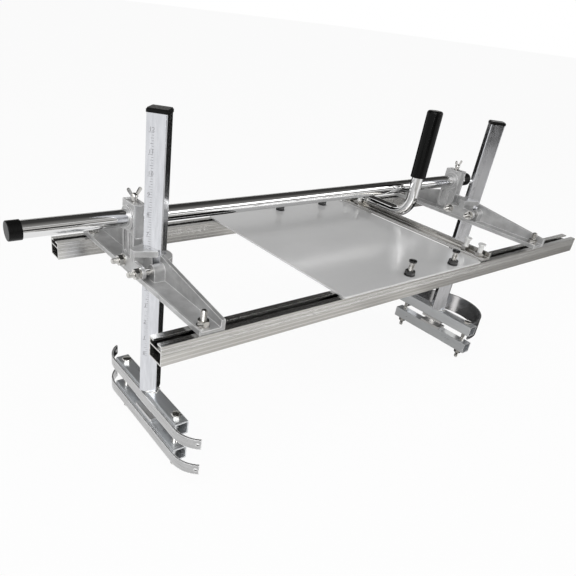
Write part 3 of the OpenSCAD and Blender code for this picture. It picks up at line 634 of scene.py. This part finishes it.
def turned(bm, outline):
    """A turned shape round Z from an outline of (radius, z) in millimetres."""
    spun(bm, outline, TURN_STEPS)
    bmesh.ops.remove_doubles(bm, verts=bm.verts, dist=MERGE_DISTANCE)


def thread(bm, low, high, radius):
    """A helical thread round Z from low to high, in millimetres, over a core."""
    root = radius - THREAD_DEPTH
    crest = radius - CREST_INSET
    turns = int((high - low) / PITCH) - 1
    outline = []
    for turn in range(turns):
        z = low + turn * PITCH
        outline += [(root, z), (crest, z + PITCH * CREST_START), (crest, z + PITCH * CREST_END)]
    outline.append((root, low + turns * PITCH))
    spun(bm, outline, THREAD_STEPS, rise=PITCH / THREAD_STEPS, closed=False)


def threaded_shank(bottom, top, thread_from, radius=BOLT_R):
    """A stud along Z: plain below thread_from and threaded above, with a chamfered tip."""
    bm = bmesh.new()
    core = radius - CORE_INSET
    turned(
        bm,
        [
            (0, bottom),
            (radius, bottom),
            (radius, thread_from),
            (core, thread_from + RUN_OUT),
            (core, top - TIP_LENGTH),
            (core - TIP_CHAMFER, top),
            (0, top),
        ],
    )
    thread(bm, thread_from + THREAD_START, top - THREAD_END, radius)
    bmesh.ops.remove_doubles(bm, verts=bm.verts, dist=MERGE_DISTANCE)
    bmesh.ops.recalc_face_normals(bm, faces=bm.faces)
    return bm


def place(bm, place_mm, axis="Z"):
    """Moves a shape made round Z at the origin to its place, with Z turned to axis."""
    turns = {
        "Z": Matrix(),
        "-Z": Matrix.Rotation(math.pi, 4, "X"),
        "-X": Matrix.Rotation(-math.pi / 2, 4, "Y"),
    }
    where = Matrix.Translation(Vector(place_mm) * MM)
    bmesh.ops.transform(bm, matrix=where @ turns[axis], verts=bm.verts)


def add_to(whole, part):
    """Adds one bmesh to another and frees it."""
    mesh = mesh_of(part, "part")
    whole.from_mesh(mesh)
    bpy.data.meshes.remove(mesh)


# Fasteners


def t_bolts(name, places, top, thread_from, material, body, node):
    """Studs at places (x, y) whose square heads lie in a rail slot."""
    whole = bmesh.new()
    head_top = SLOT_ROOF - T_HEAD_PLAY
    for x, y in places:
        bm = threaded_shank(head_top, top, thread_from)
        head = bmesh.ops.create_cube(bm, size=MM)
        bmesh.ops.scale(bm, vec=(T_HEAD_SIDE, T_HEAD_SIDE, T_HEAD_HEIGHT), verts=head["verts"])
        middle = (head_top - T_HEAD_HEIGHT / 2) * MM
        bmesh.ops.translate(bm, vec=(0, 0, middle), verts=head["verts"])
        place(bm, (x, y, 0))
        add_to(whole, bm)
    piece = new_piece(name, whole, material, body)
    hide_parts(node)


def cup_head_bolts(name, places, size, material, body, node):
    """Cup-head bolts towards -X: the head's flat side at each place, the thread beyond it."""
    whole = bmesh.new()
    head_r = size["head_r"]
    head_height = size["head_height"]
    dome = (head_r * head_r + head_height * head_height) / (2 * head_height)
    for point in places:
        bm = threaded_shank(0, size["length"], size["plain"], size["radius"])
        outline = [(0, 0), (head_r, 0)]
        for step in range(1, DOME_STEPS + 1):
            z = head_height * step / DOME_STEPS
            r = math.sqrt(max(dome * dome - (dome - head_height + z) ** 2, 0))
            outline.append((r, -z))
        turned(bm, outline)
        bmesh.ops.remove_doubles(bm, verts=bm.verts, dist=MERGE_DISTANCE)
        bmesh.ops.recalc_face_normals(bm, faces=bm.faces)
        place(bm, point, "-X")
        add_to(whole, bm)
    piece = new_piece(name, whole, material, body)
    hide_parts(node)


def headed_bolts(name, places, top, plain, materials, body, node):
    """Bolts at places (x, y, tip), flat round heads on top, unthreaded over the length plain."""
    whole = bmesh.new()
    shank_material, head_material = materials
    for x, y, tip in places:
        bm = threaded_shank(CAP_HEIGHT, top - tip, CAP_HEIGHT + plain)
        shank = set(bm.faces)
        turned(bm, CAP_OUTLINE)
        for face in set(bm.faces) - shank:
            face.material_index = 1
        bmesh.ops.recalc_face_normals(bm, faces=bm.faces)
        place(bm, (x, y, top), "-Z")
        add_to(whole, bm)
    piece = new_piece(name, whole, shank_material, body)
    piece.data.materials.append(head_material)
    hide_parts(node)


def bar_bolts(side, post_x, foot_z, gap, material):
    """The two hex bolts of a bar clamp."""
    tip = foot_z - 2 * CLAMP_TUBE - gap - BAR_BOLT_BEYOND
    whole = bmesh.new()
    for y in (-BAR_BOLT_SPACING / 2, BAR_BOLT_SPACING / 2):
        bm = threaded_shank(0, foot_z - tip, BAR_BOLT_PLAIN)
        head = bmesh.ops.create_cone(
            bm,
            cap_ends=True,
            segments=6,
            radius1=HEX_HEAD_R * MM,
            radius2=HEX_HEAD_R * MM,
            depth=HEX_HEAD_HEIGHT * MM,
        )
        middle = -HEX_HEAD_HEIGHT / 2 * MM
        bmesh.ops.translate(bm, vec=(0, 0, middle), verts=head["verts"])
        outer = {corner for corner in head["verts"] if corner.co.z < middle}
        bmesh.ops.bevel(
            bm,
            geom=[edge for edge in bm.edges if outer.issuperset(edge.verts)],
            offset=HEX_HEAD_CHAMFER * MM,
            offset_type="OFFSET",
            affect="EDGES",
            segments=2,
            profile=0.5,
            material=-1,
        )
        place(bm, (post_x, POST_Y + y, foot_z), "-Z")
        add_to(whole, bm)
    body = side + "_post_body"
    piece = new_piece(side + "_bar_bolt_set", whole, material, body)
    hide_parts(side + "_bar_bolts")


# Welds and scale


def weld_beads(side, post_x, foot_z, material):
    """Four rows of small beads, not all alike, where the post's faces meet the clamp tube."""
    bm = bmesh.new()
    reach = POST_HALF * math.sqrt(2)
    start = CLAMP_TUBE / 2 - WELD_INSET
    for sx in (-1, 1):
        for sy in (-1, 1):
            for k in range(BEADS_PER_ROW):
                x = sx * start * (1 - k / BEADS_PER_ROW)
                y = sy * (reach - abs(x))
                size = BEAD_R + BEAD_R_CHANGE * math.sin(5 * k + 2 * sx + sy)
                bead = bmesh.ops.create_uvsphere(bm, u_segments=12, v_segments=8, radius=size * MM)
                bmesh.ops.scale(bm, vec=(1.0, 1.0, BEAD_HEIGHT), verts=bead["verts"])
                where = (
                    post_x + x + sx * BEAD_STAND_OFF,
                    POST_Y + y + sy * BEAD_STAND_OFF,
                    foot_z + BEAD_STAND_OFF,
                )
                bmesh.ops.translate(bm, vec=Vector(where) * MM, verts=bead["verts"])
    new_piece(side + "_post_weld", bm, material, side + "_post_body")


def scale_plane(post_x, top_z):
    """Turns (along, up) on a post's near face into the object's frame; z = 0 at the post's top."""
    across = Vector((1, -1, 0)).normalized()
    normal = Vector((-1, -1, 0)).normalized()
    origin = (Vector((post_x, POST_Y, top_z)) + normal * (POST_HALF + SCALE_LIFT)) * MM
    turn = Matrix((across, Vector((0, 0, 1)), normal)).transposed().to_4x4()
    return Matrix.Translation(origin) @ turn


def numeral(text):
    """The mesh of a number, its lower left corner at the origin, in metres."""
    curve = bpy.data.curves.new("numeral", "FONT")
    curve.body = text
    curve.size = NUMERAL_HEIGHT * MM * TYPE_SIZE
    writing = add_object("numeral", curve)
    bpy.context.view_layer.update()
    graph = bpy.context.evaluated_depsgraph_get()
    mesh = bpy.data.meshes.new_from_object(writing.evaluated_get(graph))
    bpy.data.objects.remove(writing)
    bpy.data.curves.remove(curve)
    return mesh


def mark(bm, length, z):
    """One straight mark on the scale, as a thin flat face that ends at MARK_RIGHT."""
    face = bmesh.ops.create_grid(bm, x_segments=1, y_segments=1, size=0.5 * MM)
    bmesh.ops.scale(bm, vec=(length, MARK_WIDTH, 1), verts=face["verts"])
    middle = (MARK_RIGHT - length / 2) * MM
    bmesh.ops.translate(bm, vec=(middle, z * MM, 0), verts=face["verts"])


def post_scale(side, post_x, top_z, material):
    """Inch marks in eighths, numbered from the top down, on the post's near face."""
    bm = bmesh.new()
    for step in range(SCALE_INCHES * EIGHTHS + 1):
        length = next(length for size, length in MARK_LENGTHS.items() if step % size == 0)
        mark(bm, length, -SCALE_TOP_DROP - step * INCH / EIGHTHS)
    for inch in range(SCALE_INCHES + 1):
        mesh = numeral(str(SCALE_INCHES - inch))
        z = -SCALE_TOP_DROP - inch * INCH + NUMERAL_RISE
        mesh.transform(Matrix.Translation(Vector((NUMERAL_LEFT, z, 0)) * MM))
        bm.from_mesh(mesh)
        bpy.data.meshes.remove(mesh)
    bmesh.ops.transform(bm, matrix=scale_plane(post_x, top_z), verts=bm.verts)
    new_piece(side + "_post_scale", bm, material, side + "_post_body")


# Stage


def emptied(owner):
    """The nodes and links of a new material or world, with no node in them."""
    owner.use_nodes = True
    owner.node_tree.nodes.clear()
    return owner.node_tree.nodes, owner.node_tree.links


def white_to_the_eye(nodes, links, shade, share):
    """Mixes shade with plain white, by share, for rays that see the background."""
    path = nodes.new("ShaderNodeLightPath")
    seen = path.outputs["Is Camera Ray"]
    for kind in ("Is Glossy Ray", "Is Transmission Ray"):
        either = nodes.new("ShaderNodeMath")
        either.operation = "MAXIMUM"
        links.new(seen, either.inputs[0])
        links.new(path.outputs[kind], either.inputs[1])
        seen = either.outputs[0]
    part = nodes.new("ShaderNodeMath")
    part.operation = "MULTIPLY"
    part.inputs[1].default_value = share
    links.new(seen, part.inputs[0])
    glow = nodes.new("ShaderNodeEmission")
    glow.inputs["Strength"].default_value = 1.0
    mix = nodes.new("ShaderNodeMixShader")
    links.new(part.outputs[0], mix.inputs["Fac"])
    links.new(shade, mix.inputs[1])
    links.new(glow.outputs["Emission"], mix.inputs[2])
    return mix.outputs["Shader"]


def floor():
    """A plain pale floor that keeps the object's shadow."""
    bm = bmesh.new()
    bmesh.ops.create_grid(bm, x_segments=1, y_segments=1, size=FLOOR_REACH)
    bmesh.ops.translate(bm, vec=(0, 0, FLOOR_Z), verts=bm.verts)
    mesh = mesh_of(bm, "floor")
    material = bpy.data.materials.new("pale_floor")
    nodes, links = emptied(material)
    matt = nodes.new("ShaderNodeBsdfDiffuse")
    matt.inputs["Color"].default_value = FLOOR_COLOUR
    output = nodes.new("ShaderNodeOutputMaterial")
    shade = white_to_the_eye(nodes, links, matt.outputs["BSDF"], FLOOR_WHITE)
    links.new(shade, output.inputs["Surface"])
    mesh.materials.append(material)
    ground = add_object("floor", mesh)


def surroundings():
    """Soft even light all round, seen as white."""
    world = bpy.data.worlds.new("studio")
    bpy.context.scene.world = world
    nodes, links = emptied(world)
    soft = nodes.new("ShaderNodeBackground")
    soft.inputs["Color"].default_value = (1, 1, 1, 1)
    soft.inputs["Strength"].default_value = STUDIO_STRENGTH
    output = nodes.new("ShaderNodeOutputWorld")
    shade = white_to_the_eye(nodes, links, soft.outputs["Background"], 1.0)
    links.new(shade, output.inputs["Surface"])


def lamp(name, where, target, size, power):
    """A soft oblong lamp that shines at target."""
    data = bpy.data.lights.new(name, "AREA")
    data.shape = "RECTANGLE"
    data.size, data.size_y = size
    data.energy = power
    light = add_object(name, data)
    light.location = where
    light.rotation_euler = (Vector(target) - Vector(where)).to_track_quat("-Z", "Y").to_euler()


def reflect_card(name, where, size, tones, turn, shaded_along="Y"):
    """A card off camera that only the metal reflects; its tone runs evenly between tones."""
    bm = bmesh.new()
    bmesh.ops.create_grid(bm, x_segments=1, y_segments=1, size=0.5)
    bmesh.ops.scale(bm, vec=(*size, 1), verts=bm.verts)
    mesh = mesh_of(bm, name)
    material = bpy.data.materials.new(name)
    nodes, links = emptied(material)
    seat = nodes.new("ShaderNodeTexCoord")
    axes = nodes.new("ShaderNodeSeparateXYZ")
    links.new(seat.outputs["Object"], axes.inputs["Vector"])
    reach = size["XY".index(shaded_along)] / 2
    tone = mapped(nodes, links, axes.outputs[shaded_along], (-reach, reach), tones)
    plain = nodes.new("ShaderNodeEmission")
    plain.inputs["Color"].default_value = CARD_COLOUR
    links.new(tone, plain.inputs["Strength"])
    output = nodes.new("ShaderNodeOutputMaterial")
    links.new(plain.outputs["Emission"], output.inputs["Surface"])
    mesh.materials.append(material)
    card = add_object(name, mesh)
    card.location = where
    card.rotation_euler = [math.radians(angle) for angle in turn]
    card.visible_camera = False
    card.visible_diffuse = False
    card.visible_shadow = False


def photograph_camera():
    """A camera at the place and angle fitted to the photograph."""
    heading = math.radians(CAMERA_HEADING)
    pitch = math.radians(CAMERA_PITCH)
    roll = math.radians(CAMERA_ROLL)
    ahead = Vector(
        (math.cos(pitch) * math.sin(heading), math.cos(pitch) * math.cos(heading), math.sin(pitch))
    )
    right = ahead.cross(Vector((0, 0, 1))).normalized()
    above = right.cross(ahead)
    right_rolled = math.cos(roll) * right + math.sin(roll) * above
    above_rolled = math.cos(roll) * above - math.sin(roll) * right
    data = bpy.data.cameras.new("photograph_camera")
    data.lens = CAMERA_LENS
    data.sensor_width = CAMERA_SENSOR
    data.sensor_fit = "HORIZONTAL"
    data.shift_x, data.shift_y = CAMERA_SHIFT
    data.clip_start = CAMERA_CLIP
    camera = add_object("photograph_camera", data)
    turn = Matrix((right_rolled, above_rolled, -ahead)).transposed().to_4x4()
    camera.matrix_world = Matrix.Translation(CAMERA_PLACE) @ turn
    bpy.context.scene.camera = camera


# The mill


def dress(finish):
    """Gives every CAD node that stays its finish."""
    for entry in frame["record"]["subparts"]:
        mesh = frame["nodes"][entry["node"]].data
        mesh.materials.clear()
        mesh.materials.append(finish[entry["material_slot"]])
    frame["nodes"]["deck_nuts"].data.materials[0] = finish["dark_plate"]


def body_of(node):
    """The body that a node moves with."""
    for body, nodes in frame["record"]["behaviour"]["bodies"].items():
        if node in nodes:
            return body
    return "rail_frame"


def eased_nodes(finish):
    """Copies with eased edges of the nodes in EASED."""
    slots = {entry["node"]: entry["material_slot"] for entry in frame["record"]["subparts"]}
    own = {
        "cross_member": finish["member_aluminium"],
        "member_foot_plates": finish["bright_plate"],
    }
    for node, width in EASED.items():
        slot = slots[node]
        eased_copy(node, own.get(node, finish[slot]), body_of(node), width)


def rail_bolts(finish):
    """The bolts of the deck, the cross member and the thrust handle."""
    zinc, dark, bright = finish["zinc_plate"], finish["dark_plate"], finish["bright_plate"]
    places = [(x, y, SLOT_TIP) for x in DECK_BOLT_X for y in RAILS_Y]
    looks = (zinc, dark)
    body = "rail_frame"
    headed_bolts("deck_bolt_set", places, DECK_BOLT_TOP, DECK_BOLT_PLAIN, looks, body, "deck_bolts")
    outer_y = (OUTER_STUD_Y, RAIL_SPACING - OUTER_STUD_Y)
    places = [(STUD_X, y, SLOT_TIP) for y in RAILS_Y]
    places += [(OUTER_STUD_X, y, OUTER_STUD_TIP) for y in outer_y]
    looks = (bright, bright)
    body = "cross_member_body"
    headed_bolts("member_bolt_set", places, STUD_TOP, STUD_PLAIN, looks, body, "member_studs")
    places = [(THRUST_X, RAIL_SPACING)]
    t_bolts("thrust_bolt_set", places, THRUST_BOLT_TOP, THRUST_THREAD_Z, zinc, body, "thrust_bolt")


def bracket_and_post(side, post_x, top, gap, finish):
    """The bolts, the weld and the scale of one side."""
    zinc = finish["zinc_plate"]
    body = side + "_bracket_body"
    name = side + "_foot_bolt_set"
    places = [(post_x + FOOT_BOLT_X, y) for y in RAILS_Y]
    t_bolts(name, places, FOOT_BOLT_TOP, FOOT_THREAD_Z, zinc, body, side + "_foot_bolts")
    name = side + "_clamp_bolt_set"
    clamp_x = post_x + CLAMP_BOLT_X
    places = [(clamp_x, POST_Y + y, CLAMP_BOLT_Z) for y in (-CLAMP_BOLT_Y, CLAMP_BOLT_Y)]
    cup_head_bolts(name, places, CLAMP_BOLT, zinc, body, side + "_clamp_bolts")
    foot_z = top - POST_LENGTH
    bar_bolts(side, post_x, foot_z, gap, zinc)
    weld_beads(side, post_x, foot_z, finish["weld_steel"])
    post_scale(side, post_x, top, finish["scale_ink"])


def guard_bolts(finish):
    """The two bolts of the nose guard, through the right clamp tube's far wall."""
    x = RIGHT_POST_X + CLAMP_TUBE / 2 + GUARD_THICKNESS
    z = RIGHT_POST_TOP - POST_LENGTH - CLAMP_TUBE / 2
    places = [(x, POST_Y + y, z) for y in (-GUARD_BOLT_Y, GUARD_BOLT_Y)]
    zinc = finish["zinc_plate"]
    body = "right_post_body"
    cup_head_bolts("guard_bolt_set", places, GUARD_BOLT, zinc, body, "nose_guard_bolts")


def main():
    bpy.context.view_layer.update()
    bpy.context.scene.view_settings.view_transform = "Standard"
    photograph_camera()
    surroundings()
    floor()
    for name, setting in LAMPS.items():
        lamp(name, **setting)
    for name, setting in CARDS.items():
        reflect_card(name, *setting)
    finish = finishes()
    dress(finish)
    eased_nodes(finish)
    rail_bolts(finish)
    bracket_and_post("left", LEFT_POST_X, LEFT_POST_TOP, LEFT_GAP, finish)
    bracket_and_post("right", RIGHT_POST_X, RIGHT_POST_TOP, RIGHT_GAP, finish)
    guard_bolts(finish)


with open("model.json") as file:
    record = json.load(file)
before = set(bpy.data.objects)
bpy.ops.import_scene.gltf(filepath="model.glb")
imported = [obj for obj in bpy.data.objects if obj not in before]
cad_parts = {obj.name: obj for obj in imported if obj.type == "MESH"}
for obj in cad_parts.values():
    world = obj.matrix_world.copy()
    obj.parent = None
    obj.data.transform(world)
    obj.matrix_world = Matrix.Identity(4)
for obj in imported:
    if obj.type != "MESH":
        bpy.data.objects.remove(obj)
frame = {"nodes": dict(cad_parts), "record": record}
main()
